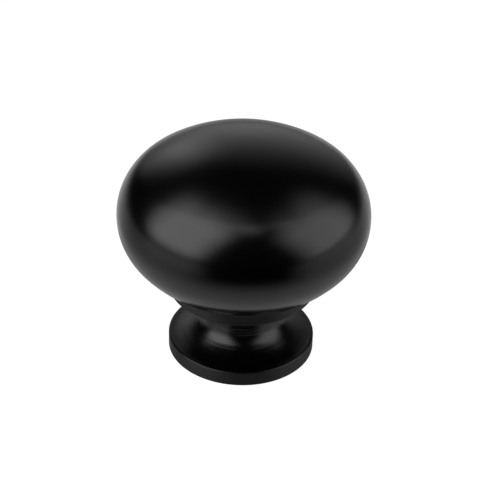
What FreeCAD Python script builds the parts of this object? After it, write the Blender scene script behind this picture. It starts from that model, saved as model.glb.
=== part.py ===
import FreeCAD, Part
import math
import os
import Sketcher
from FreeCAD import Vector

# Mushroom cabinet knob, one solid. Origin at the centre of the mounting face, +Z out of the door
# towards the crown, lengths in mm. The half section lies in the XZ plane: X is the radius.
# Each row is the name of a size, its value and what it measures.
SIZES = [
    ("head_diameter", 32.0, "widest circle of the head"),
    ("side_radius", 7.9, "round of the head's side, above and below the widest circle"),
    ("crown_rise", 10.4, "from the widest circle up to the crown"),
    ("belly_depth", 11.75, "from the widest circle down to where the belly's round would close"),
    ("band_diameter", 19.0, "upright band under the head"),
    ("band_height", 1.55, "from the band's lower edge to the head"),
    ("neck_length", 7.35, "from the foot's top to the band's lower edge"),
    ("waist_diameter", 8.5, "narrowest circle of the neck, just under the band"),
    ("waist_round", 2.5, "round from the neck over the waist out to the band's underside"),
    ("neck_taper", 17.5, "slope of the neck against the axis, degrees"),
    ("heel_round", 2.6, "tighter round where the neck runs out into the flare"),
    ("flare_round", 6.2, "wider round of the flare down to the foot's land"),
    ("flare_slope", 5.7, "slope of the flare where it leaves the land, degrees"),
    ("foot_land", 0.65, "level ring on the foot, outside the flare"),
    ("foot_diameter", 19.0, "foot that stands on the door"),
    ("foot_thickness", 2.0, "upright edge of the foot"),
    ("throat_fillet", 0.3, "inner rounding where the band meets the head"),
    ("band_rounding", 0.12, "outer rounding of the band's lower edge"),
    ("foot_rounding", 0.25, "outer rounding of the foot's upper edge"),
    ("seat_chamfer", 0.05, "bevel of the foot's lower edge"),
    ("recess_diameter", 14.0, "shallow recess in the mounting face"),
    ("recess_depth", 0.4, "depth of that recess"),
    ("tap_drill_diameter", 3.3, "hole before the M4 x 0.7 thread is cut"),
    ("hole_depth", 15.0, "full-diameter depth of the hole, from the recess floor"),
    ("drill_point_angle", 118.0, "cone at the hole's end, degrees"),
    ("mouth_diameter", 4.5, "countersunk mouth of the hole"),
    ("mouth_angle", 90.0, "countersink, degrees"),
]
SIZE = {name: value for name, value, meaning in SIZES}


def make_sheet(doc):
    """Driving sizes as plain numbers, each cell with an alias."""
    sheet = doc.addObject("Spreadsheet::Sheet", "Sizes")
    for row, (name, value, meaning) in enumerate(SIZES, start=1):
        sheet.set(f"A{row}", meaning)
        sheet.set(f"B{row}", str(value))
        sheet.setAlias(f"B{row}", name)
    doc.recompute()
    return sheet


def origin_plane(body, role):
    """One of the body's own origin planes, such as XZ_Plane."""
    return next(feature for feature in body.Origin.OriginFeatures if feature.Role == role)


def new_sketch(body, name, role):
    sketch = body.newObject("Sketcher::SketchObject", name)
    sketch.AttachmentSupport = (origin_plane(body, role), [""])
    sketch.MapMode = "FlatFace"
    return sketch


def drive(sketch, name, constraint, formula):
    """Adds a named dimension to a sketch and binds it to the sheet."""
    index = sketch.addConstraint(constraint)
    sketch.renameConstraint(index, name)
    sketch.setExpression(f"Constraints.{name}", formula)


def closing_round(pole_distance):
    """Arc centred on the axis that runs smoothly into the head's side.

    pole_distance is how far from the widest circle's level the arc meets the axis. Returns its
    radius and how far its centre lies from that level, counted away from the pole.
    """
    side = SIZE["side_radius"]
    side_centre = SIZE["head_diameter"] / 2 - side
    radius = (side_centre ** 2 + pole_distance ** 2 - side ** 2) / (2 * (pole_distance - side))
    return radius, radius - pole_distance


def heights():
    """Levels up the knob: the band's lower and upper edge, and the head's widest circle."""
    band_low = SIZE["foot_thickness"] + SIZE["neck_length"]
    band_top = band_low + SIZE["band_height"]
    radius, above = closing_round(SIZE["belly_depth"])
    drop = math.sqrt(radius ** 2 - (SIZE["band_diameter"] / 2) ** 2) - above
    return band_low, band_top, band_top + drop


def neck_centres(land_end, band_low):
    """Centres of the waist's, the heel's and the flare's round, each running smoothly into the next.

    The waist's round touches the band's underside. The flare starts at the land's end with its own
    slope. The heel lies its radius away from the neck's straight taper and inside the flare's round.
    """
    taper, slope = math.radians(SIZE["neck_taper"]), math.radians(SIZE["flare_slope"])
    waist_round, heel, flare = SIZE["waist_round"], SIZE["heel_round"], SIZE["flare_round"]
    waist_centre = Vector(SIZE["waist_diameter"] / 2 + waist_round, band_low - waist_round, 0)
    flare_centre = land_end + flare * Vector(math.sin(slope), math.cos(slope), 0)

    outward = Vector(math.cos(taper), math.sin(taper), 0)
    down = Vector(math.sin(taper), -math.cos(taper), 0)
    beside = waist_centre + (heel - waist_round) * outward
    gap = beside - flare_centre
    along = gap.dot(down)
    travel = -along + math.sqrt(along ** 2 - gap.dot(gap) + (flare - heel) ** 2)
    return waist_centre, beside + travel * down, flare_centre


def add_line(sketch, first, last, construction=False):
    return sketch.addGeometry(Part.LineSegment(first, last), construction)


def add_arc(sketch, centre, radius, first_angle, last_angle):
    circle = Part.Circle(centre, Vector(0, 0, 1), radius)
    return sketch.addGeometry(Part.ArcOfCircle(circle, first_angle, last_angle), False)


def draw_section(sketch):
    """Half section of the knob without its hole, fully tied to the sheet."""
    start, end, middle = 1, 2, 3
    origin, axis_line = -1, -2

    foot = SIZE["foot_diameter"] / 2
    band = SIZE["band_diameter"] / 2
    side_radius = SIZE["side_radius"]
    side_centre = SIZE["head_diameter"] / 2 - side_radius
    band_low, band_top, equator = heights()
    crown = equator + SIZE["crown_rise"]
    foot_top = SIZE["foot_thickness"]
    land_end = Vector(foot - SIZE["foot_land"], foot_top, 0)

    # Foot, from the axis along the mounting face to the flare.
    face = add_line(sketch, Vector(0, 0, 0), Vector(foot, 0, 0))
    rim = add_line(sketch, Vector(foot, 0, 0), Vector(foot, foot_top, 0))
    land = add_line(sketch, Vector(foot, foot_top, 0), land_end)

    # The neck: from the band's underside round the waist, down the taper, heel and flare to the land.
    waist_centre, heel_centre, flare_centre = neck_centres(land_end, band_low)
    waist_round, heel_round, flare_round = SIZE["waist_round"], SIZE["heel_round"], SIZE["flare_round"]
    taper = math.radians(SIZE["neck_taper"])
    between = flare_centre - heel_centre
    heel_turn = math.atan2(between.y, between.x)
    flare_turn = math.pi / 2 - math.radians(SIZE["flare_slope"])
    outward = Vector(math.cos(taper), math.sin(taper), 0)
    waist = add_arc(sketch, waist_centre, waist_round, math.pi / 2, math.pi + taper)
    cone = add_line(sketch, heel_centre - heel_round * outward, waist_centre - waist_round * outward)
    heel = add_arc(sketch, heel_centre, heel_round, math.pi + taper, math.pi + heel_turn)
    flare = add_arc(sketch, flare_centre, flare_round, math.pi + heel_turn, math.pi + flare_turn)
    ledge = add_line(sketch, Vector(waist_centre.x, band_low, 0), Vector(band, band_low, 0))

    # The head is three arcs: belly and dome are centred on the axis and run into the side.
    belly_radius, belly_above = closing_round(SIZE["belly_depth"])
    dome_radius, dome_below = closing_round(SIZE["crown_rise"])
    belly_centre = Vector(0, equator + belly_above, 0)
    dome_centre = Vector(0, equator - dome_below, 0)
    belly_join = -math.atan2(belly_above, side_centre)
    dome_join = math.atan2(dome_below, side_centre)

    # A small inner round leads from the band into the belly and touches both.
    fillet = SIZE["throat_fillet"]
    throat_drop = math.sqrt((belly_radius + fillet) ** 2 - (band + fillet) ** 2)
    throat_centre = Vector(band + fillet, belly_centre.y - throat_drop, 0)
    wall_angle = -math.acos((band + fillet) / (belly_radius + fillet))
    throat = add_arc(sketch, throat_centre, fillet, math.pi + wall_angle, math.pi)
    wall = add_line(sketch, Vector(band, band_low, 0), Vector(band, throat_centre.y, 0))
    belly = add_arc(sketch, belly_centre, belly_radius, wall_angle, belly_join)
    side = add_arc(sketch, Vector(side_centre, equator, 0), side_radius, belly_join, dome_join)
    dome = add_arc(sketch, dome_centre, dome_radius, dome_join, math.pi / 2)
    axis = add_line(sketch, Vector(0, crown, 0), Vector(0, 0, 0))

    # Helpers: the point where the belly would close, and the corner that the band and the belly
    # would make without their inner round.
    low_pole = sketch.addGeometry(Part.Point(Vector(0, equator - SIZE["belly_depth"], 0)), True)
    corner = sketch.addGeometry(Part.Point(Vector(band, band_top, 0)), True)

    joins = [(face, end, rim, start), (rim, end, land, start), (land, end, flare, end),
             (ledge, end, wall, start),
             (dome, end, axis, start), (axis, end, face, start), (face, start, origin, start)]
    for first, first_point, second, second_point in joins:
        sketch.addConstraint(
            Sketcher.Constraint("Coincident", first, first_point, second, second_point))
    for line in (face, land, ledge):
        sketch.addConstraint(Sketcher.Constraint("Horizontal", line))
    for line in (rim, wall):
        sketch.addConstraint(Sketcher.Constraint("Vertical", line))
    smooth_joins = [(ledge, start, waist, start), (waist, end, cone, end), (cone, start, heel, start),
                    (heel, end, flare, start), (wall, end, throat, end), (throat, start, belly, start),
                    (belly, end, side, start), (side, end, dome, start)]
    for first, first_point, second, second_point in smooth_joins:
        sketch.addConstraint(
            Sketcher.Constraint("Tangent", first, first_point, second, second_point))
    on_axis = [(axis, start), (belly, middle), (dome, middle), (low_pole, start)]
    for item, point in on_axis:
        sketch.addConstraint(Sketcher.Constraint("PointOnObject", item, point, axis_line))
    sketch.addConstraint(Sketcher.Constraint("PointOnObject", low_pole, start, belly))
    sketch.addConstraint(Sketcher.Constraint("PointOnObject", corner, start, belly))
    sketch.addConstraint(Sketcher.Constraint("PointOnObject", corner, start, wall))

    # Each dimension: name, kind, what it runs between, its value and its formula.
    dimensions = [
        ("foot_radius", "DistanceX", (face, start, face, end), foot, "Sizes.foot_diameter / 2"),
        ("foot_height", "DistanceY", (rim, start, rim, end), foot_top, "Sizes.foot_thickness"),
        ("land_width", "DistanceX", (land, end, land, start), SIZE["foot_land"], "Sizes.foot_land"),
        ("neck_height", "DistanceY", (rim, end, wall, start), SIZE["neck_length"],
         "Sizes.neck_length"),
        ("waist_offset", "DistanceX", (origin, start, waist, middle), waist_centre.x,
         "Sizes.waist_diameter / 2 + Sizes.waist_round"),
        ("waist_curve", "Radius", (waist,), waist_round, "Sizes.waist_round"),
        ("cone_angle", "Angle", (cone,), math.pi / 2 + taper, "(90 + Sizes.neck_taper) * 1 deg"),
        ("heel_curve", "Radius", (heel,), heel_round, "Sizes.heel_round"),
        ("flare_curve", "Radius", (flare,), flare_round, "Sizes.flare_round"),
        ("flare_offset", "DistanceX", (land, end, flare, middle), flare_centre.x - land_end.x,
         "Sizes.flare_round * sin(Sizes.flare_slope * 1 deg)"),
        ("band_radius", "DistanceX", (origin, start, wall, start), band,
         "Sizes.band_diameter / 2"),
        ("wall_height", "DistanceY", (wall, start, corner, start), SIZE["band_height"],
         "Sizes.band_height"),
        ("throat_round", "Radius", (throat,), fillet, "Sizes.throat_fillet"),
        ("side_round", "Radius", (side,), side_radius, "Sizes.side_radius"),
        ("side_offset", "DistanceX", (origin, start, side, middle), side_centre,
         "Sizes.head_diameter / 2 - Sizes.side_radius"),
        ("dome_height", "DistanceY", (side, middle, dome, end), SIZE["crown_rise"],
         "Sizes.crown_rise"),
        ("belly_drop", "DistanceY", (low_pole, start, side, middle), SIZE["belly_depth"],
         "Sizes.belly_depth"),
    ]
    for name, kind, between, value, formula in dimensions:
        drive(sketch, name, Sketcher.Constraint(kind, *between, value), formula)


def circle_edges(shape, radius, height):
    """Names of the circular edges of a shape with this radius about the Z axis at this height."""
    found = []
    for number, edge in enumerate(shape.Edges, start=1):
        if edge.Degenerated or not isinstance(edge.Curve, Part.Circle):
            continue
        curve = edge.Curve
        if abs(curve.Radius - radius) < 1e-4 and abs(curve.Center.z - height) < 1e-4:
            found.append(f"Edge{number}")
    if not found:
        raise ValueError(f"no edge of radius {radius} at height {height}")
    return found


def round_edge(body, kind, name, base, radius, height, size_name):
    """Fillet or Chamfer on one circle of the base feature, its size bound to the sheet."""
    feature = body.newObject(f"PartDesign::{kind}", name)
    feature.Base = (base, circle_edges(base.Shape, radius, height))
    size = "Radius" if kind == "Fillet" else "Size"
    setattr(feature, size, SIZE[size_name])
    feature.setExpression(size, f"Sizes.{size_name}")
    body.Document.recompute()
    return feature


def cut_circle(body, name, diameter_name, offset_formula=None):
    """Sketch of one circle about the axis on the mounting plane, facing down out of the part."""
    sketch = new_sketch(body, name, "XY_Plane")
    sketch.MapReversed = True
    circle = sketch.addGeometry(
        Part.Circle(Vector(0, 0, 0), Vector(0, 0, 1), SIZE[diameter_name] / 2), False)
    sketch.addConstraint(Sketcher.Constraint("Coincident", circle, 3, -1, 1))
    drive(sketch, "diameter", Sketcher.Constraint("Diameter", circle, SIZE[diameter_name]),
          f"Sizes.{diameter_name}")
    if offset_formula:
        sketch.setExpression(".AttachmentOffset.Base.z", offset_formula)
    return sketch


def build_knob(doc):
    body = doc.addObject("PartDesign::Body", "Knob")
    body.Label = "knob"

    section = new_sketch(body, "Section", "XZ_Plane")
    draw_section(section)
    doc.recompute()
    if section.solve() != 0:
        raise ValueError("the section doesn't solve")
    turned = body.newObject("PartDesign::Revolution", "Turned")
    turned.Profile = section
    turned.ReferenceAxis = (section, ["V_Axis"])
    turned.Angle = 360
    doc.recompute()

    band = SIZE["band_diameter"] / 2
    foot = SIZE["foot_diameter"] / 2
    band_low = heights()[0]
    lip = round_edge(body, "Fillet", "BandLip", turned, band, band_low, "band_rounding")
    rim = round_edge(body, "Fillet", "FootRim", lip, foot, SIZE["foot_thickness"], "foot_rounding")
    seat = round_edge(body, "Chamfer", "SeatEdge", rim, foot, 0, "seat_chamfer")

    # Shallow recess in the mounting face, so that the knob bears on a ring at its edge.
    recess = body.newObject("PartDesign::Pocket", "Recess")
    recess.Profile = cut_circle(body, "RecessCircle", "recess_diameter")
    recess.Length = SIZE["recess_depth"]
    recess.setExpression("Length", "Sizes.recess_depth")
    doc.recompute()

    # Blind hole, tapped later, with a countersunk mouth in the recess floor.
    mouth = cut_circle(body, "HoleCircle", "tap_drill_diameter", "-Sizes.recess_depth")
    doc.recompute()
    hole = body.newObject("PartDesign::Hole", "ScrewHole")
    hole.Profile = mouth
    doc.recompute()
    hole.ThreadType = 0
    hole.DepthType = 0
    hole.HoleCutType = 2
    hole.HoleCutCustomValues = True
    hole.DrillPoint = 1
    hole.setExpression("Diameter", "Sizes.tap_drill_diameter")
    hole.setExpression("Depth", "Sizes.hole_depth")
    hole.setExpression("DrillPointAngle", "Sizes.drill_point_angle")
    hole.setExpression("HoleCutDiameter", "Sizes.mouth_diameter")
    hole.setExpression("HoleCutCountersinkAngle", "Sizes.mouth_angle")
    doc.recompute()

    # Each cut has to take material away.
    stages = [("seat", seat), ("recess", recess), ("hole", hole)]
    for (name, before), (next_name, after) in zip(stages, stages[1:]):
        taken = before.Shape.Volume - after.Shape.Volume
        print(f"{next_name} takes {taken:.2f} mm3")
        if taken <= 0:
            raise ValueError(f"{next_name} cuts nothing")
    return body


def main():
    doc = FreeCAD.newDocument("CabinetKnob")
    make_sheet(doc)
    bodies = [build_knob(doc)]
    doc.recompute()

    for item in doc.Objects:
        if "Invalid" in item.State or "Error" in item.State:
            raise ValueError(f"{item.Name} failed: {item.State}")
    os.makedirs("parts", exist_ok=True)
    for body in bodies:
        shape = body.Shape
        if shape.isNull() or not shape.isValid() or len(shape.Solids) != 1:
            raise ValueError(f"{body.Label} isn't one valid solid")
        box = shape.optimalBoundingBox(False)
        print(f"{body.Label}: {shape.Volume:.1f} mm3, {box.XLength:.2f} x {box.YLength:.2f}"
              f" x {box.ZLength:.2f} mm, lowest {box.ZMin:.3f}")
        shape.exportStep(f"parts/{body.Label}.step")


main()
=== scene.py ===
"""Cabinet knob: mushroom head, waisted neck and disc foot, turned as one piece and coated satin black.

The whole surface is one closed mesh of revolution, from the crown round the foot and up the tapped hole.
"""

import math

import bpy
import numpy as np
from bpy.props import FloatProperty, FloatVectorProperty, IntProperty, PointerProperty
from mathutils import Matrix, Vector


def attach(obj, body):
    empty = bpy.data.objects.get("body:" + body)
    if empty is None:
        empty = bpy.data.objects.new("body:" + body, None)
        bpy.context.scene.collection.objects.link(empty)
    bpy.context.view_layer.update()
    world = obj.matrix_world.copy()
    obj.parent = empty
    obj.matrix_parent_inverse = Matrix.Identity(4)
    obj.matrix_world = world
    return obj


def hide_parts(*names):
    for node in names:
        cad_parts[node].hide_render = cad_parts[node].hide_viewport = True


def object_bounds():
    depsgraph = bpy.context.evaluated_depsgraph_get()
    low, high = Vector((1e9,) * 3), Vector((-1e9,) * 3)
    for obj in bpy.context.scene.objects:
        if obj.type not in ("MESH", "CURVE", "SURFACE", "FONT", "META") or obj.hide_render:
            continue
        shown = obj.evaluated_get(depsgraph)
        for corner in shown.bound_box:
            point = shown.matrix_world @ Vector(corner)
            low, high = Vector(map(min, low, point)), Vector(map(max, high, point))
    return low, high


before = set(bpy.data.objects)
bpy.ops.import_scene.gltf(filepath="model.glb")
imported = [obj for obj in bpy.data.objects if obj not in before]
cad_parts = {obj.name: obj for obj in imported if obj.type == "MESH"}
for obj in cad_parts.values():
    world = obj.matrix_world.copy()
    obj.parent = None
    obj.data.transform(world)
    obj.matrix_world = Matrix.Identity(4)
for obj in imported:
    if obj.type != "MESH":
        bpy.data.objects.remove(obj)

bl_info = {
    "name": "Cabinet Knob",
    "version": (1, 0, 0),
    "blender": (4, 5, 0),
    "location": "View3D > Sidebar > Cabinet Knob",
    "description": "Builds a turned cabinet knob, its satin coat and a small studio",
    "category": "Add Mesh",
}

MM = 0.001
CAD_LOW, CAD_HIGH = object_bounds()
NODE = "knob"
BODY = "root"
PHOTO_SIDE = 480


def length(value_mm, name, description):
    """Length property with its default given in millimetres."""
    return FloatProperty(name=name, description=description, default=value_mm * MM, min=0.0,
                         unit="LENGTH", precision=5)


def degrees(value, name, description):
    """Angle property with its default given in degrees."""
    return FloatProperty(name=name, description=description, default=math.radians(value), subtype="ANGLE")


def fraction(value, name, description):
    """Property that goes from 0 to 1."""
    return FloatProperty(name=name, description=description, default=value, min=0.0, max=1.0,
                         subtype="FACTOR")


def colour(value, name, description):
    """Colour property with its default given as red, green and blue."""
    return FloatVectorProperty(name=name, description=description, default=value, min=0.0, max=1.0,
                               subtype="COLOR")


class KnobSizes(bpy.types.PropertyGroup):
    """Sizes of the knob. The head's width and height come from the frame."""

    side_radius: length(7.9, "Side round", "Round of the head's side, above and below its widest circle")
    crown_rise: length(10.4, "Crown rise", "From the widest circle up to the crown")
    belly_depth: length(11.75, "Belly depth", "From the widest circle down to where the belly would close")
    band_radius: length(9.5, "Band radius", "Upright band under the head")
    band_low: length(9.35, "Band height", "Lower edge of the band, above the door")
    band_round: length(0.12, "Band edge", "Outer round of the band's lower edge")
    throat_round: length(0.3, "Throat", "Inner round where the band meets the head")
    waist_radius: length(4.25, "Waist radius", "Narrowest circle of the neck, just under the band")
    waist_round: length(2.5, "Waist round", "Round from the neck out to the band's underside")
    neck_taper: degrees(17.5, "Neck taper", "Slope of the neck against the axis")
    heel_round: length(2.6, "Heel round", "Tighter round where the neck runs out into the flare")
    flare_round: length(6.2, "Flare round", "Wider round of the flare down to the foot")
    flare_slope: degrees(5.7, "Flare slope", "Slope of the flare where it leaves the land")
    foot_land: length(0.65, "Foot land", "Level ring on the foot, outside the flare")
    foot_radius: length(9.5, "Foot radius", "Disc that stands on the door")
    foot_height: length(2.0, "Foot height", "Upright edge of the foot")
    foot_round: length(0.25, "Foot edge", "Outer round of the foot's upper edge")
    seat_bevel: length(0.05, "Seat bevel", "Bevel of the foot's lower edge")
    recess_radius: length(7.0, "Recess radius", "Shallow recess in the mounting face")
    recess_depth: length(0.4, "Recess depth", "Depth of that recess")
    drill_radius: length(1.65, "Drill radius", "Hole before its thread is cut")
    drill_depth: length(15.0, "Drill depth", "Full-width depth of the hole, from the recess floor")
    mouth_radius: length(2.25, "Mouth radius", "Countersunk mouth of the hole")
    thread_pitch: length(0.7, "Thread pitch", "Rise of the thread in one turn")
    thread_depth: length(0.35, "Thread depth", "How far the thread is cut into the wall")
    thread_length: length(12.4, "Thread length", "Full thread, from the recess floor")
    drill_point: degrees(118.0, "Drill point", "Cone at the end of the hole")
    columns: IntProperty(name="Columns", description="Faces round the axis", default=192, min=24)


class KnobCoat(bpy.types.PropertyGroup):
    """Look of the satin coat and of the cut thread."""

    coat_colour: colour((0.0004, 0.0004, 0.0004), "Coat", "Colour of the coat")
    coat_gloss: fraction(0.21, "Head roughness", "Roughness of the head's coat")
    neck_gloss: fraction(0.23, "Neck roughness", "Roughness of the neck and the foot's top")
    neck_brushed: fraction(0.2, "Neck brushing", "How much rougher the neck is across its grooves")
    wall_gloss: fraction(0.40, "Wall roughness", "Roughness of the band's and the foot's walls")
    wall_brushed: fraction(0.9, "Wall brushing", "How much rougher the walls are across their grooves")
    wall_level: fraction(0.34, "Wall shine", "Specular level of the walls")
    thin_level: fraction(0.275, "Thin coat", "Specular level of the neck where its coat is thin")
    full_coat: fraction(0.45, "Full coat", "Second layer of gloss where the neck's coat is full")
    thread_colour: colour((0.52, 0.52, 0.54), "Cut metal", "Bare metal of the thread")


class KnobStage(bpy.types.PropertyGroup):
    """Camera, floor and lamps."""

    camera_distance: length(210.0, "Camera distance", "From the camera to the middle of the knob")
    camera_height: length(13.0, "Aim height", "Height on the axis that the camera looks at")
    camera_elevation: degrees(33.69, "Elevation", "Camera above the horizon")
    camera_roll: degrees(1.445, "Roll", "Turn of the camera about its view")
    picture_scale: FloatProperty(name="Scale", description="Pixels for each millimetre at the aim point",
                                 default=7.811, min=0.1)
    aim_pixel: FloatVectorProperty(name="Aim pixel", description="Where the aim point falls, in pixels",
                                   size=2, default=(242.75, 259.5))
    floor_colour: colour((0.52, 0.52, 0.52), "Floor", "Colour of the floor")
    white_share: fraction(0.85, "White share", "How much of the floor the camera sees as white")
    white_strength: FloatProperty(name="White strength", description="Strength of that white",
                                  default=1.16, min=0.0)
    mirrored_share: fraction(0.27, "Mirrored share", "How much of that white the gloss shows")
    # Painted light and shade on the floor that only the knob's gloss shows: a painted dark front, a painted
    # shadow close behind the knob and painted light beside it
    shade_left: degrees(-36.0, "Shade left", "Left side of the dark front, from straight ahead")
    shade_right: degrees(44.0, "Shade right", "Right side of the dark front")
    shade_edge: degrees(14.0, "Shade edge", "Half the width over which its sides fade")
    shade_near: length(22.0, "Shade near", "Distance from the axis where the dark front starts")
    shade_far: length(58.0, "Shade far", "Distance from the axis where the dark front is full")
    shadow_side: degrees(124.0, "Shadow side", "Either side of the shadow behind the knob")
    shadow_near: length(26.0, "Shadow near", "Distance from the axis up to which that shadow is full")
    shadow_far: length(40.0, "Shadow far", "Distance from the axis where that shadow ends")
    shadow_depth: fraction(0.85, "Shadow depth", "How much darker that shadow is")
    beside_start: degrees(100.0, "Beside start", "Where the floor beside that shadow gets brighter")
    beside_full: degrees(142.0, "Beside full", "Where it is brightest")
    beside_end: degrees(158.0, "Beside end", "Up to where it stays so")
    beside_gain: FloatProperty(name="Beside gain", description="How much brighter it gets", default=1.0,
                               min=0.0)


# Outline of the knob

# Rows of faces along each stretch, close enough for smooth reflections
ROWS = {
    "crown": 36,
    "side": 60,
    "belly": 22,
    "throat": 8,
    "band_wall": 10,
    "band_edge": 8,
    "ledge": 8,
    "waist": 32,
    "taper": 8,
    "heel": 24,
    "flare": 24,
    "land": 4,
    "foot_edge": 8,
    "foot_wall": 8,
    "seat_bevel": 2,
    "face": 6,
    "recess_wall": 4,
    "recess_floor": 8,
    "mouth": 10,
    "plain_wall": 4,
    "drill_point": 6,
}
ROWS_PER_PITCH = 10

HALF_TURN, QUARTER_TURN = math.pi, math.pi / 2


def line(first, last, count):
    """Straight stretch from first up to, but not including, last.

    The steps are short at both ends, where a rounding joins on: the share is (1 - cos(pi t)) / 2.
    """
    t = np.arange(count) / count
    share = (1 - np.cos(np.pi * t)) / 2
    return np.outer(1 - share, first) + np.outer(share, last)


def arc(centre, radius, first_angle, last_angle, count):
    """Round stretch: centre + radius * (cos a, sin a) for evenly spaced a, without its last point."""
    angle = first_angle + (last_angle - first_angle) * np.arange(count) / count
    return np.column_stack([centre[0] + radius * np.cos(angle), centre[1] + radius * np.sin(angle)])


def closing_round(pole_distance, side_centre, side_radius):
    """Arc centred on the axis that runs smoothly into the head's side.

    pole_distance is how far from the widest circle's level it meets the axis. With p that distance, c the
    side's centre from the axis and s its radius, its own radius is (c^2 + p^2 - s^2) / (2 (p - s)).
    Returns that and how far its centre lies from the level, counted away from the pole.
    """
    radius = (side_centre ** 2 + pole_distance ** 2 - side_radius ** 2) / (2 * (pole_distance - side_radius))
    return radius, radius - pole_distance


def head_stretches(size):
    """Crown, side, belly and throat, from the axis down to the band's wall, and that wall's top."""
    head_radius = (CAD_HIGH.x - CAD_LOW.x) / 2
    equator = CAD_HIGH.z - size.crown_rise
    side_centre = head_radius - size.side_radius
    crown_radius, crown_below = closing_round(size.crown_rise, side_centre, size.side_radius)
    belly_radius, belly_above = closing_round(size.belly_depth, side_centre, size.side_radius)
    crown_join = math.atan2(crown_below, side_centre)
    belly_join = -math.atan2(belly_above, side_centre)
    belly_centre = (0.0, equator + belly_above)

    fillet = size.throat_round
    throat_angle = -math.acos((size.band_radius + fillet) / (belly_radius + fillet))
    throat_centre = (size.band_radius + fillet,
                     belly_centre[1] + (belly_radius + fillet) * math.sin(throat_angle))
    return {
        "crown": arc((0.0, equator - crown_below), crown_radius, QUARTER_TURN, crown_join, ROWS["crown"]),
        "side": arc((side_centre, equator), size.side_radius, crown_join, belly_join, ROWS["side"]),
        "belly": arc(belly_centre, belly_radius, belly_join, throat_angle, ROWS["belly"]),
        "throat": arc(throat_centre, fillet, throat_angle + HALF_TURN, HALF_TURN, ROWS["throat"]),
    }, throat_centre[1]


def rounded_corner(corner, radius, first_angle, count):
    """Outer quarter round of a square corner that turns clockwise, starting at first_angle."""
    middle = first_angle - QUARTER_TURN / 2
    reach = radius * math.sqrt(2)
    centre = (corner[0] - reach * math.cos(middle), corner[1] - reach * math.sin(middle))
    return arc(centre, radius, first_angle, first_angle - QUARTER_TURN, count)


def neck_centres(size):
    """Centres of the waist's, the heel's and the flare's round, each running smoothly into the next.

    The waist's round touches the band's underside, and the flare starts at the land's end with its own
    slope. The heel's centre is as far from the straight taper as the heel's radius, and as far from the
    flare's centre as the two radii differ, which is a quadratic for its place along the taper.
    """
    taper, slope = size.neck_taper, size.flare_slope
    waist_round, heel, flare = size.waist_round, size.heel_round, size.flare_round
    land_end = np.array([size.foot_radius - size.foot_land, size.foot_height])
    waist_centre = np.array([size.waist_radius + waist_round, size.band_low - waist_round])
    flare_centre = land_end + flare * np.array([math.sin(slope), math.cos(slope)])
    outward = np.array([math.cos(taper), math.sin(taper)])
    down = np.array([math.sin(taper), -math.cos(taper)])
    beside = waist_centre + (heel - waist_round) * outward
    gap = beside - flare_centre
    along = gap @ down
    travel = -along + math.sqrt(along ** 2 - gap @ gap + (flare - heel) ** 2)
    return waist_centre, beside + travel * down, flare_centre


def neck_stretches(size, wall_top):
    """Band, ledge, neck, flare, land, foot and mounting face, down to the edge of the recess."""
    band, foot = size.band_radius, size.foot_radius
    band_round, foot_round, bevel = size.band_round, size.foot_round, size.seat_bevel
    band_low, foot_top = size.band_low, size.foot_height
    waist_centre, heel_centre, flare_centre = neck_centres(size)
    outward = np.array([math.cos(size.neck_taper), math.sin(size.neck_taper)])
    across, rise = flare_centre - heel_centre
    taper_angle = HALF_TURN + size.neck_taper
    heel_angle = HALF_TURN + math.atan2(rise, across)
    flare_angle = HALF_TURN + QUARTER_TURN - size.flare_slope
    taper_start = waist_centre - size.waist_round * outward
    taper_end = heel_centre - size.heel_round * outward
    land_end = (foot - size.foot_land, foot_top)

    return {
        "band_wall": line((band, wall_top), (band, band_low + band_round), ROWS["band_wall"]),
        "band_edge": rounded_corner((band, band_low), band_round, 0.0, ROWS["band_edge"]),
        "ledge": line((band - band_round, band_low), (waist_centre[0], band_low), ROWS["ledge"]),
        "waist": arc(waist_centre, size.waist_round, QUARTER_TURN, taper_angle, ROWS["waist"]),
        "taper": line(taper_start, taper_end, ROWS["taper"]),
        "heel": arc(heel_centre, size.heel_round, taper_angle, heel_angle, ROWS["heel"]),
        "flare": arc(flare_centre, size.flare_round, heel_angle, flare_angle, ROWS["flare"]),
        "land": line(land_end, (foot - foot_round, foot_top), ROWS["land"]),
        "foot_edge": rounded_corner((foot, foot_top), foot_round, QUARTER_TURN, ROWS["foot_edge"]),
        "foot_wall": line((foot, foot_top - foot_round), (foot, bevel), ROWS["foot_wall"]),
        "seat_bevel": line((foot, bevel), (foot - bevel, 0.0), ROWS["seat_bevel"]),
        "face": line((foot - bevel, 0.0), (size.recess_radius, 0.0), ROWS["face"]),
    }


def hole_stretches(size):
    """Recess, countersunk mouth, threaded wall and drill point, up to the axis."""
    recess, mouth, drill = size.recess_radius, size.mouth_radius, size.drill_radius
    floor = size.recess_depth
    mouth_end = floor + mouth - drill
    wall_end = floor + size.drill_depth
    tip = wall_end + drill / math.tan(size.drill_point / 2)
    thread_end = floor + size.thread_length + size.thread_pitch
    thread_rows = int(round(ROWS_PER_PITCH * (thread_end - mouth_end) / size.thread_pitch))
    heights = mouth_end + (thread_end - mouth_end) * (np.arange(thread_rows) / thread_rows)
    return {
        "recess_wall": line((recess, 0.0), (recess, floor), ROWS["recess_wall"]),
        "recess_floor": line((recess, floor), (mouth, floor), ROWS["recess_floor"]),
        "mouth": line((mouth, floor), (drill, mouth_end), ROWS["mouth"]),
        "thread": np.column_stack([np.full(thread_rows, drill), heights]),
        "plain_wall": line((drill, thread_end), (drill, wall_end), ROWS["plain_wall"]),
        "drill_point": line((drill, wall_end), (0.0, tip), ROWS["drill_point"]),
        "tip": np.array([[0.0, tip]]),
    }


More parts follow.
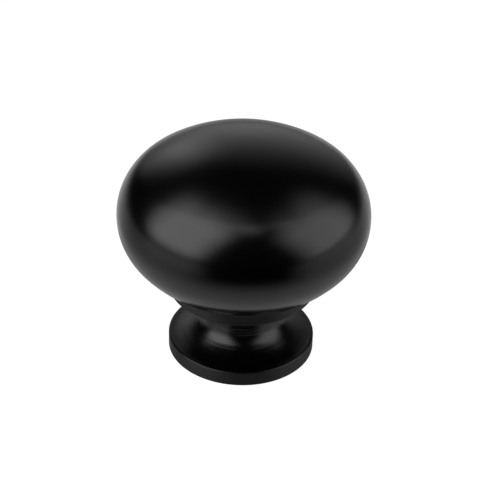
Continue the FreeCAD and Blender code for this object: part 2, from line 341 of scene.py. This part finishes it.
def thread_cut(size, height, angle):
    """How much deeper the wall lies at a height and an angle because of the thread.

    The phase is the height in pitches less the angle in turns. A trapezoid of the phase, flat for an
    eighth at the root and a quarter at the crest, gives the depth, which fades out past the full thread.
    """
    phase = (height / size.thread_pitch - angle / (2 * math.pi)) % 1.0
    from_root = np.abs(phase - 0.5)
    half_root, half_crest = 1 / 16, 1 / 8
    flank = np.clip((0.5 - half_crest - from_root) / (0.5 - half_crest - half_root), 0.0, 1.0)
    last = size.recess_depth + size.thread_length
    fade = np.clip((last + size.thread_pitch - height) / size.thread_pitch, 0.0, 1.0)
    return size.thread_depth * flank * fade


# Mesh of the knob

# The knob's finishes, in the order of its materials
HEAD_FINISH, NECK_FINISH, WALL_FINISH, THREAD_FINISH = range(4)

# Heights in mm at which the neck's coat stops being thin, gets full, stays full and is thin again
COAT_HEIGHTS = (2.2, 3.2, 4.2, 5.4)
COAT_FULLNESS = (0.0, 1.0, 1.0, 0.0)

# Edges that turn more than this are drawn sharp
SHARP_TURN = math.radians(28.0)


def revolve(outline, columns, widen):
    """Points (r cos a, r sin a, z) for each outline point and each angle a, with r widened by a function.

    The first and the last outline point lie on the axis and are one point each.
    """
    angle = 2 * math.pi * np.arange(columns) / columns
    radius = np.repeat(outline[1:-1, :1], columns, axis=1)
    height = np.repeat(outline[1:-1, 1:], columns, axis=1)
    radius = widen(radius, height, angle[None, :])
    ring = np.stack([radius * np.cos(angle), radius * np.sin(angle), height], axis=-1).reshape(-1, 3)
    poles = np.array([[0.0, 0.0, outline[0, 1]], [0.0, 0.0, outline[-1, 1]]])
    return np.vstack([ring, poles])


def ring_faces(rows, columns):
    """Quads between neighbouring rings and a fan at each pole, all facing outwards.

    Rings run down the outside and then up the hole, so one order of corners suits the whole surface.
    """
    here = np.arange(columns)
    there = (here + 1) % columns
    row = np.arange(rows - 1)[:, None] * columns
    quads = np.stack([row + here, row + columns + here, row + columns + there, row + there], axis=-1)
    first_pole, last_pole = rows * columns, rows * columns + 1
    last_row = (rows - 1) * columns
    top_fan = np.column_stack([np.full(columns, first_pole), here, there])
    end_fan = np.column_stack([last_row + here, np.full(columns, last_pole), last_row + there])
    return quads.reshape(-1, 4), top_fan, end_fan


def fill_mesh(name, points, quads, fans):
    """New mesh from numpy arrays of points, quads and triangles."""
    mesh = bpy.data.meshes.new(name)
    corners = np.concatenate([quads.ravel()] + [fan.ravel() for fan in fans]).astype(np.int32)
    triangles = sum(len(fan) for fan in fans)
    sizes = np.concatenate([np.full(len(quads), 4), np.full(triangles, 3)])
    starts = np.concatenate([[0], np.cumsum(sizes)[:-1]]).astype(np.int32)
    mesh.vertices.add(len(points))
    mesh.vertices.foreach_set("co", points.astype(np.float32).ravel())
    mesh.loops.add(len(corners))
    mesh.loops.foreach_set("vertex_index", corners)
    mesh.polygons.add(len(sizes))
    mesh.polygons.foreach_set("loop_start", starts)
    mesh.polygons.foreach_set("use_smooth", np.ones(len(sizes), dtype=bool))
    mesh.update(calc_edges=True)
    mesh.validate()
    return mesh


def row_finishes(row, first_row):
    """Finish of the faces below each outline point.

    The foot's rounded edge has the neck's finish on its upper half and the wall's on its lower half.
    """
    edge_middle = first_row["foot_edge"] + ROWS["foot_edge"] // 2
    on_band = (row >= first_row["band_wall"]) & (row < first_row["ledge"])
    on_foot = (row >= edge_middle) & (row < first_row["seat_bevel"])
    on_neck = row >= first_row["throat"]
    in_thread = row >= first_row["mouth"]
    return np.select([in_thread, on_band | on_foot, on_neck],
                     [THREAD_FINISH, WALL_FINISH, NECK_FINISH], HEAD_FINISH)


def knob_mesh(size):
    """The knob's closed surface, with two attributes that its coat reads and its four finishes.

    along is the distance along the outline. full is 1 where the sprayed coat is full, on the flare, and
    falls to 0 where it is thin, on the foot's land and deep under the band. The finishes are the head's,
    the neck's, that of the upright walls of band and foot, and the cut metal of the thread.
    """
    head, wall_top = head_stretches(size)
    stretches = {**head, **neck_stretches(size, wall_top), **hole_stretches(size)}
    outline = np.vstack(list(stretches.values()))
    counts = [len(part) for part in stretches.values()]
    first_row = dict(zip(stretches, np.cumsum([0] + counts)))
    row = np.arange(len(outline))
    in_hole = (row >= first_row["mouth"]) & (row < first_row["drill_point"])

    def widen(radius, height, angle):
        """The wall of the hole is whichever lies further out: the plain cut or the thread."""
        wall = size.drill_radius + thread_cut(size, height, angle)
        return np.where(in_hole[1:-1, None], np.maximum(radius, wall), radius)

    columns = size.columns
    points = revolve(outline, columns, widen)
    quads, top_fan, end_fan = ring_faces(len(outline) - 2, columns)
    mesh = fill_mesh("turned_knob", points, quads, [top_fan, end_fan])

    step = np.hypot(*np.diff(outline, axis=0).T)
    travelled = np.concatenate([[0.0], np.cumsum(step)]) / MM
    full = np.interp(outline[:, 1] / MM, COAT_HEIGHTS, COAT_FULLNESS)
    for name, values in (("along", travelled), ("full", full)):
        attribute = mesh.attributes.new(name, "FLOAT", "POINT")
        spread = np.concatenate([np.repeat(values[1:-1], columns), values[[0, -1]]])
        attribute.data.foreach_set("value", spread.astype(np.float32))

    finish = row_finishes(row, first_row)[1:-2]
    fans = np.repeat([HEAD_FINISH, THREAD_FINISH], columns)
    faces = np.concatenate([np.repeat(finish, columns), fans])
    mesh.polygons.foreach_set("material_index", faces.astype(np.int32))
    mesh.set_sharp_from_angle(angle=SHARP_TURN)
    return mesh


# Nodes

def new_material(name):
    """Material with an empty node tree, and that tree."""
    material = bpy.data.materials.new(name)
    material.use_nodes = True
    material.node_tree.nodes.clear()
    return material, material.node_tree


def give_inputs(tree, node, given):
    """Link each named or numbered input of a node to an output, or set it to a number or a colour."""
    for name, value in given.items():
        if isinstance(value, bpy.types.NodeSocket):
            tree.links.new(value, node.inputs[name])
        else:
            node.inputs[name].default_value = value


def add_node(tree, kind, given, operation=None):
    """Node of one kind with the given inputs."""
    node = tree.nodes.new(kind)
    if operation:
        node.operation = operation
    give_inputs(tree, node, given)
    return node


def add_math(tree, operation, *values):
    """Outcome of one Math node on sockets or numbers."""
    return add_node(tree, "ShaderNodeMath", dict(enumerate(values)), operation).outputs[0]


def product(tree, first, *others):
    """Product of sockets or numbers."""
    for other in others:
        first = add_math(tree, "MULTIPLY", first, other)
    return first


def add_step(tree, value, low, high):
    """Smooth step of a socket, 0 at low and 1 at high, either way round."""
    step = add_node(tree, "ShaderNodeMapRange", {"Value": value, "From Min": low, "From Max": high})
    step.interpolation_type = "SMOOTHSTEP"
    return step.outputs[0]


def add_range(tree, value, first, last):
    """Goes from first to last, which are sockets or numbers, as the value goes from 0 to 1."""
    return add_node(tree, "ShaderNodeMapRange", {"Value": value, "To Min": first, "To Max": last}).outputs[0]


def object_place(tree):
    """Object coordinates."""
    return tree.nodes.new("ShaderNodeTexCoord").outputs["Object"]


def mesh_value(tree, name):
    """Value of one of the mesh's own attributes."""
    node = tree.nodes.new("ShaderNodeAttribute")
    node.attribute_name = name
    return node.outputs["Fac"]


def new_group(name, inputs):
    """Node group that gives a height, and the outputs that carry its named inputs."""
    group = bpy.data.node_groups.new(name, "ShaderNodeTree")
    for label in inputs:
        group.interface.new_socket(label, in_out="INPUT", socket_type="NodeSocketFloat")
    group.interface.new_socket("Height", in_out="OUTPUT", socket_type="NodeSocketFloat")
    return group, group.nodes.new("NodeGroupInput").outputs


def place_group(tree, group, given):
    """Height that a node group gives for its given inputs."""
    node = tree.nodes.new("ShaderNodeGroup")
    node.node_tree = group
    give_inputs(tree, node, given)
    return node.outputs["Height"]


# Materials of the knob

MARK_DEPTH = 0.004 * MM
NOISE_DETAIL = 2.0

# The fine grain's share of the coat's bumps, how far it moves the coat's roughness, and the range of
# roughness that it gives the cut metal
GRAIN_SHARE = 0.25
GRAIN_ROUGHNESS = 0.01
CUT_ROUGHNESS = (0.25, 0.45)


def group_turning_marks():
    """Node group: fine grooves that run round the axis, as a tool leaves them.

    Noise is read at (distance along the outline, a little of the direction round the axis), so that it
    changes fast across the grooves and slowly along them.
    """
    group, given = new_group("Turning marks", ["Grooves per mm", "Drift"])
    flat = add_node(group, "ShaderNodeVectorMath", {0: object_place(group), 1: (1.0, 1.0, 0.0)}, "MULTIPLY")
    unit = add_node(group, "ShaderNodeVectorMath", {0: flat.outputs[0]}, "NORMALIZE")
    split = add_node(group, "ShaderNodeSeparateXYZ", {0: unit.outputs[0]})
    join = add_node(group, "ShaderNodeCombineXYZ", {
        0: product(group, mesh_value(group, "along"), given["Grooves per mm"]),
        1: product(group, split.outputs[0], given["Drift"]),
        2: product(group, split.outputs[1], given["Drift"]),
    })
    noise = add_node(group, "ShaderNodeTexNoise",
                     {"Vector": join.outputs[0], "Scale": 1.0, "Detail": NOISE_DETAIL})
    add_node(group, "NodeGroupOutput", {"Height": noise.outputs["Fac"]})
    return group


def group_fine_grain():
    """Node group: the even, very fine grain of a satin surface, read at Object coordinates."""
    group, given = new_group("Fine grain", ["Grains per mm"])
    scale = product(group, given["Grains per mm"], 1 / MM)
    noise = add_node(group, "ShaderNodeTexNoise",
                     {"Vector": object_place(group), "Scale": scale, "Detail": NOISE_DETAIL})
    add_node(group, "NodeGroupOutput", {"Height": noise.outputs["Fac"]})
    return group


def add_bump(tree, height):
    """Normal of a surface whose marks are as high as the given height says."""
    return add_node(tree, "ShaderNodeBump",
                    {"Strength": 1.0, "Distance": MARK_DEPTH, "Height": height}).outputs[0]


def coat_material(name, look, marks, grain, groove_share, gloss, brushed, level, second_layer=0.0):
    """Satin black coat of one finish.

    groove_share is how deep the turning marks are, gloss the roughness, brushed how much rougher the
    coat is across those marks, and level its specular level. second_layer is how much gloss a second
    layer adds where the sprayed coat is full.
    """
    material, tree = new_material(name)
    groove = place_group(tree, marks, {"Grooves per mm": 6.5, "Drift": 0.6})
    fine = place_group(tree, grain, {"Grains per mm": 5.0})
    height = add_math(tree, "ADD", product(tree, groove, groove_share), product(tree, fine, GRAIN_SHARE))
    normal = add_bump(tree, height)
    shader = add_node(tree, "ShaderNodeBsdfPrincipled", {
        "Base Color": (*look.coat_colour, 1.0),
        "Roughness": add_range(tree, fine, gloss - GRAIN_ROUGHNESS, gloss + GRAIN_ROUGHNESS),
        "IOR": 1.5,
        "Specular IOR Level": level,
        "Anisotropic": brushed,
        "Anisotropic Rotation": 0.25,
        "Normal": normal,
    })
    if second_layer:
        give_inputs(tree, shader, {
            "Coat Weight": product(tree, mesh_value(tree, "full"), second_layer),
            "Coat Roughness": gloss,
            "Coat Normal": normal,
        })
    add_node(tree, "ShaderNodeOutputMaterial", {"Surface": shader.outputs[0]})
    return material


def thread_material(look, marks, grain):
    """Bare metal where the thread was cut after coating."""
    material, tree = new_material("cut_metal")
    groove = place_group(tree, marks, {"Grooves per mm": 8.0, "Drift": 1.5})
    fine = place_group(tree, grain, {"Grains per mm": 12.0})
    shader = add_node(tree, "ShaderNodeBsdfPrincipled", {
        "Base Color": (*look.thread_colour, 1.0),
        "Metallic": 1.0,
        "Roughness": add_range(tree, fine, *CUT_ROUGHNESS),
        "Normal": add_bump(tree, groove),
    })
    add_node(tree, "ShaderNodeOutputMaterial", {"Surface": shader.outputs[0]})
    return material


def knob_materials(look):
    """The coat on the head, on the neck and on the upright walls, and the cut metal of the thread."""
    marks, grain = group_turning_marks(), group_fine_grain()
    return [
        coat_material("satin_head", look, marks, grain, groove_share=0.0, gloss=look.coat_gloss,
                      brushed=0.0, level=0.5),
        coat_material("satin_neck", look, marks, grain, groove_share=8.0, gloss=look.neck_gloss,
                      brushed=look.neck_brushed, level=look.thin_level, second_layer=look.full_coat),
        coat_material("satin_wall", look, marks, grain, groove_share=4.0, gloss=look.wall_gloss,
                      brushed=look.wall_brushed, level=look.wall_level),
        thread_material(look, marks, grain),
    ]


# Stage

# Lamp panels as seen from the knob. Azimuth 0 is towards the camera, 90 to the right; degrees. Half the
# width, half the height and half the width of the fading edge, which is soft, are over the distance.
PANELS = {
    "left_panel": dict(azimuth=-62, elevation=35, width=0.54, height=0.63, roll=0, strength=2.5,
                       soft=0.28),
    "right_panel": dict(azimuth=80, elevation=24, width=0.53, height=0.64, roll=10, strength=1.6,
                        soft=0.34),
    "back_panel": dict(azimuth=180, elevation=17, width=0.39, height=0.44, roll=-22, strength=0.7,
                       soft=0.52),
    "top_panel": dict(azimuth=-20, elevation=71, width=0.12, height=0.36, roll=-103, strength=1.1,
                      soft=0.16),
    "bridge_panel": dict(azimuth=62, elevation=62, width=0.12, height=0.12, roll=0, strength=0.8,
                         soft=0.16),
    "corner_panel": dict(azimuth=-155, elevation=26, width=0.11, height=0.25, roll=-7, strength=0.9,
                         soft=0.21),
}
PANEL_DISTANCE = 0.6
PANEL_AIM = Vector((0.0, 0.0, 15.0 * MM))

# Painted light on the mirrored floor at shares of FALL_REACH from the axis: a painted contact shade next to
# the foot, then a painted pool of light that dims outwards
FALL_REACH = 0.3
PAINTED_FLOOR_FALLOFF = [
    (0.0, 0.8), (0.035, 0.8), (0.045, 1.0), (0.10, 1.0), (0.15, 0.64), (0.37, 0.6), (0.63, 0.35), (1.0, 0.1),
]
FLOOR_HALF = 1.5
FLOOR_GAP = 0.02 * MM

# How much of the white room the knob's gloss shows
ROOM_SHARE = 0.005


def rectangle(half_width, half_height, level):
    """Corners of a level rectangle round the origin, counted anticlockwise from above."""
    w, h = half_width, half_height
    return [(-w, -h, level), (w, -h, level), (w, h, level), (-w, h, level)]


def toward(azimuth, elevation):
    """Unit vector towards an azimuth and an elevation in degrees."""
    a, e = math.radians(azimuth), math.radians(elevation)
    return Vector((math.sin(a) * math.cos(e), -math.cos(a) * math.cos(e), math.sin(e)))


def panel_material(name, strength, width, height, soft):
    """Glow that fades out smoothly at all four edges; Object coordinates are in distances."""
    material, tree = new_material(name)
    split = add_node(tree, "ShaderNodeSeparateXYZ", {0: object_place(tree)})
    fades = []
    for axis, half in enumerate((width, height)):
        from_middle = add_math(tree, "ABSOLUTE", split.outputs[axis])
        fades.append(add_step(tree, from_middle, half + soft, half - soft))
    glow = add_node(tree, "ShaderNodeEmission", {"Strength": product(tree, *fades, strength)})
    clear = add_node(tree, "ShaderNodeBsdfTransparent", {})
    over = add_node(tree, "ShaderNodeAddShader", {0: glow.outputs[0], 1: clear.outputs[0]})
    add_node(tree, "ShaderNodeOutputMaterial", {"Surface": over.outputs[0]})
    return material


def add_panel(name, azimuth, elevation, width, height, roll, strength, soft):
    """Glowing rectangle that faces the knob from one direction and that the camera doesn't see."""
    out = toward(azimuth, elevation)
    side = Vector((0.0, 0.0, 1.0)).cross(out).normalized()
    rise = out.cross(side)
    turn = math.radians(roll)
    across = side * math.cos(turn) + rise * math.sin(turn)
    upward = rise * math.cos(turn) - side * math.sin(turn)
    mesh = bpy.data.meshes.new(name)
    mesh.from_pydata(rectangle(width + soft, height + soft, 0.0), [], [(3, 2, 1, 0)])
    panel = bpy.data.objects.new(name, mesh)
    basis = Matrix((across, upward, out)).transposed().to_4x4()
    middle = PANEL_AIM + out * PANEL_DISTANCE
    panel.matrix_world = Matrix.Translation(middle) @ basis @ Matrix.Scale(PANEL_DISTANCE, 4)
    mesh.materials.append(panel_material(name, strength, width, height, soft))
    bpy.context.scene.collection.objects.link(panel)
    panel.visible_camera = False
    panel.visible_shadow = False


def seen_directly(tree, mirrored):
    """1 for what the camera sees, and a given share of it for what gloss or glass shows."""
    path = tree.nodes.new("ShaderNodeLightPath").outputs
    through = add_math(tree, "MAXIMUM", path["Is Glossy Ray"], path["Is Transmission Ray"])
    return add_math(tree, "MAXIMUM", path["Is Camera Ray"], product(tree, through, mirrored))


def painted_floor_light(tree, stage):
    """Painted light and shade on the floor, as the knob's gloss shows it.

    The tone falls with the distance from the axis, a painted pool of light as on a lit table top in a dark
    room. In
    front it is painted dark: two smooth steps over the angle round the axis, counted from the front, and a
    third over the distance fade it in. Close behind the knob lies a painted shadow, made the same way, and
    past it, on both sides, the floor is painted brighter.
    """
    place = object_place(tree)
    split = add_node(tree, "ShaderNodeSeparateXYZ", {0: place})
    ahead = product(tree, split.outputs[1], -1.0)
    angle = add_math(tree, "ARCTAN2", split.outputs[0], ahead)
    turn = add_math(tree, "ABSOLUTE", angle)
    distance = add_node(tree, "ShaderNodeVectorMath", {0: place}, "LENGTH").outputs["Value"]

    # Painted dark front on the floor
    edge = stage.shade_edge
    left = add_step(tree, angle, stage.shade_left - edge, stage.shade_left + edge)
    right = add_step(tree, angle, stage.shade_right + edge, stage.shade_right - edge)
    depth = add_step(tree, distance, stage.shade_near, stage.shade_far)
    painted_dark_front = product(tree, left, right, depth)

    # Painted shadow close behind the knob
    behind = add_step(tree, turn, stage.shadow_side - edge, stage.shadow_side + edge)
    close = add_step(tree, distance, stage.shadow_far, stage.shadow_near)
    shadow = product(tree, behind, close, stage.shadow_depth)

    # Painted light on the floor beside that shadow
    start = add_step(tree, turn, stage.beside_start, stage.beside_full)
    end = add_step(tree, turn, math.pi, stage.beside_end)
    past_shadow = add_math(tree, "SUBTRACT", 1.0, close)
    gain = add_math(tree, "ADD", 1.0, product(tree, start, end, past_shadow, stage.beside_gain))

    lit = product(tree, add_math(tree, "SUBTRACT", 1.0, painted_dark_front), add_math(tree, "SUBTRACT", 1.0, shadow), gain)
    # Painted falloff of light with the distance from the axis
    fall = add_node(tree, "ShaderNodeValToRGB", {0: add_math(tree, "DIVIDE", distance, FALL_REACH)})
    stops = fall.color_ramp.elements
    while len(stops) < len(PAINTED_FLOOR_FALLOFF):
        stops.new(1.0)
    for stop, (share, tone) in zip(stops, PAINTED_FLOOR_FALLOFF):
        stop.position = share
        stop.color = (tone, tone, tone, 1.0)
    return product(tree, fall.outputs[0], lit)


def floor_material(stage):
    """Pale satin table top, lifted towards white where the camera sees it, which keeps the knob's shadow.

    The gloss sees the table's colour and a share of that white, both toned with the floor's painted light and
    shade. From below the floor is clear.
    """
    material, tree = new_material("pale_floor")
    glossy = tree.nodes.new("ShaderNodeLightPath").outputs["Is Glossy Ray"]
    # Painted light and shade, for glossy rays only; all other rays see the floor evenly
    painted_tone = add_range(tree, glossy, 1.0, painted_floor_light(tree, stage))
    tint = add_node(tree, "ShaderNodeVectorMath", {0: stage.floor_colour, "Scale": painted_tone}, "SCALE")
    top = add_node(tree, "ShaderNodeBsdfPrincipled",
                   {"Base Color": tint.outputs[0], "Roughness": 0.25, "IOR": 1.35})
    white = add_node(tree, "ShaderNodeEmission", {"Strength": product(tree, painted_tone, stage.white_strength)})
    lift = product(tree, seen_directly(tree, stage.mirrored_share), stage.white_share)
    lifted = add_node(tree, "ShaderNodeMixShader", {0: lift, 1: top.outputs[0], 2: white.outputs[0]})

    side = tree.nodes.new("ShaderNodeNewGeometry")
    clear = add_node(tree, "ShaderNodeBsdfTransparent", {})
    either = add_node(tree, "ShaderNodeMixShader",
                      {0: side.outputs["Backfacing"], 1: lifted.outputs[0], 2: clear.outputs[0]})
    add_node(tree, "ShaderNodeOutputMaterial", {"Surface": either.outputs[0]})
    return material


def add_floor(stage):
    """Square floor just under the knob."""
    mesh = bpy.data.meshes.new("floor")
    mesh.from_pydata(rectangle(FLOOR_HALF, FLOOR_HALF, -FLOOR_GAP), [], [(0, 1, 2, 3)])
    floor = bpy.data.objects.new("floor", mesh)
    mesh.materials.append(floor_material(stage))
    bpy.context.scene.collection.objects.link(floor)


def dark_room():
    """World that is nearly black to the gloss, and white behind everything that the camera sees."""
    world = bpy.data.worlds.new("studio")
    bpy.context.scene.world = world
    world.use_nodes = True
    tree = world.node_tree
    tree.nodes.clear()
    dim = add_node(tree, "ShaderNodeBackground", {"Strength": 0.0})
    white = add_node(tree, "ShaderNodeBackground", {"Color": (1.0, 1.0, 1.0, 1.0), "Strength": 1.0})
    mix = add_node(tree, "ShaderNodeMixShader",
                   {0: seen_directly(tree, ROOM_SHARE), 1: dim.outputs[0], 2: white.outputs[0]})
    add_node(tree, "ShaderNodeOutputWorld", {"Surface": mix.outputs[0]})


def add_camera(stage):
    """Camera at the photograph's angle, with a small shift that puts the knob where it stands there."""
    e, roll = stage.camera_elevation, stage.camera_roll
    back = Vector((0.0, -math.cos(e), math.sin(e)))
    right = Vector((1.0, 0.0, 0.0))
    rise = Vector((0.0, math.sin(e), math.cos(e)))
    across = right * math.cos(roll) + rise * math.sin(roll)
    upward = rise * math.cos(roll) - right * math.sin(roll)
    data = bpy.data.cameras.new("camera")
    camera = bpy.data.objects.new("camera", data)
    place = Vector((0.0, 0.0, stage.camera_height)) + back * stage.camera_distance
    camera.matrix_world = Matrix.Translation(place) @ Matrix((across, upward, back)).transposed().to_4x4()
    data.sensor_width = 36.0
    data.lens = data.sensor_width * stage.picture_scale * (stage.camera_distance / MM) / PHOTO_SIDE
    data.shift_x = (PHOTO_SIDE / 2 - stage.aim_pixel[0]) / PHOTO_SIDE
    data.shift_y = (stage.aim_pixel[1] - PHOTO_SIDE / 2) / PHOTO_SIDE
    data.clip_start = 0.01
    data.clip_end = 10.0
    bpy.context.scene.collection.objects.link(camera)
    bpy.context.scene.camera = camera


# Operators and the panel

class KNOB_OT_turned_knob(bpy.types.Operator):
    """Build the knob as one closed surface and coat it"""

    bl_idname = "knob.turned_knob"
    bl_label = "Turned knob"

    def execute(self, context):
        mesh = knob_mesh(context.scene.knob_sizes)
        for material in knob_materials(context.scene.knob_coat):
            mesh.materials.append(material)
        piece = bpy.data.objects.new("turned_knob", mesh)
        context.scene.collection.objects.link(piece)
        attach(piece, BODY)
        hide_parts(NODE)
        return {"FINISHED"}


class KNOB_OT_stage(bpy.types.Operator):
    """Build the floor, the lamps, the dark room and the camera"""

    bl_idname = "knob.stage"
    bl_label = "Studio"

    def execute(self, context):
        stage = context.scene.knob_stage
        add_floor(stage)
        for name, panel in PANELS.items():
            add_panel(name, **panel)
        dark_room()
        add_camera(stage)
        context.scene.view_settings.view_transform = "Standard"
        return {"FINISHED"}


class KNOB_PT_panel(bpy.types.Panel):
    """Panel in the sidebar that lists the steps and their sizes"""

    bl_idname = "KNOB_PT_panel"
    bl_label = "Cabinet Knob"
    bl_space_type = "VIEW_3D"
    bl_region_type = "UI"
    bl_category = "Cabinet Knob"

    def draw(self, context):
        scene = context.scene
        for operator, groups in ((KNOB_OT_turned_knob, (scene.knob_sizes, scene.knob_coat)),
                                 (KNOB_OT_stage, (scene.knob_stage,))):
            self.layout.operator(operator.bl_idname)
            for group in groups:
                for name in group.__annotations__:
                    self.layout.prop(group, name)


GROUPS = {"knob_sizes": KnobSizes, "knob_coat": KnobCoat, "knob_stage": KnobStage}
CLASSES = (*GROUPS.values(), KNOB_OT_turned_knob, KNOB_OT_stage, KNOB_PT_panel)


def register():
    """Make the classes known, and give each scene its sizes and colours."""
    for cls in CLASSES:
        bpy.utils.register_class(cls)
    for name, group in GROUPS.items():
        setattr(bpy.types.Scene, name, PointerProperty(type=group))


def unregister():
    """Take the sizes and colours off the scenes, and forget the classes."""
    for name in GROUPS:
        delattr(bpy.types.Scene, name)
    for cls in reversed(CLASSES):
        bpy.utils.unregister_class(cls)


def main():
    """Build the knob and its stage."""
    register()
    bpy.ops.knob.turned_knob()
    bpy.ops.knob.stage()


if __name__ == "__main__":
    main()
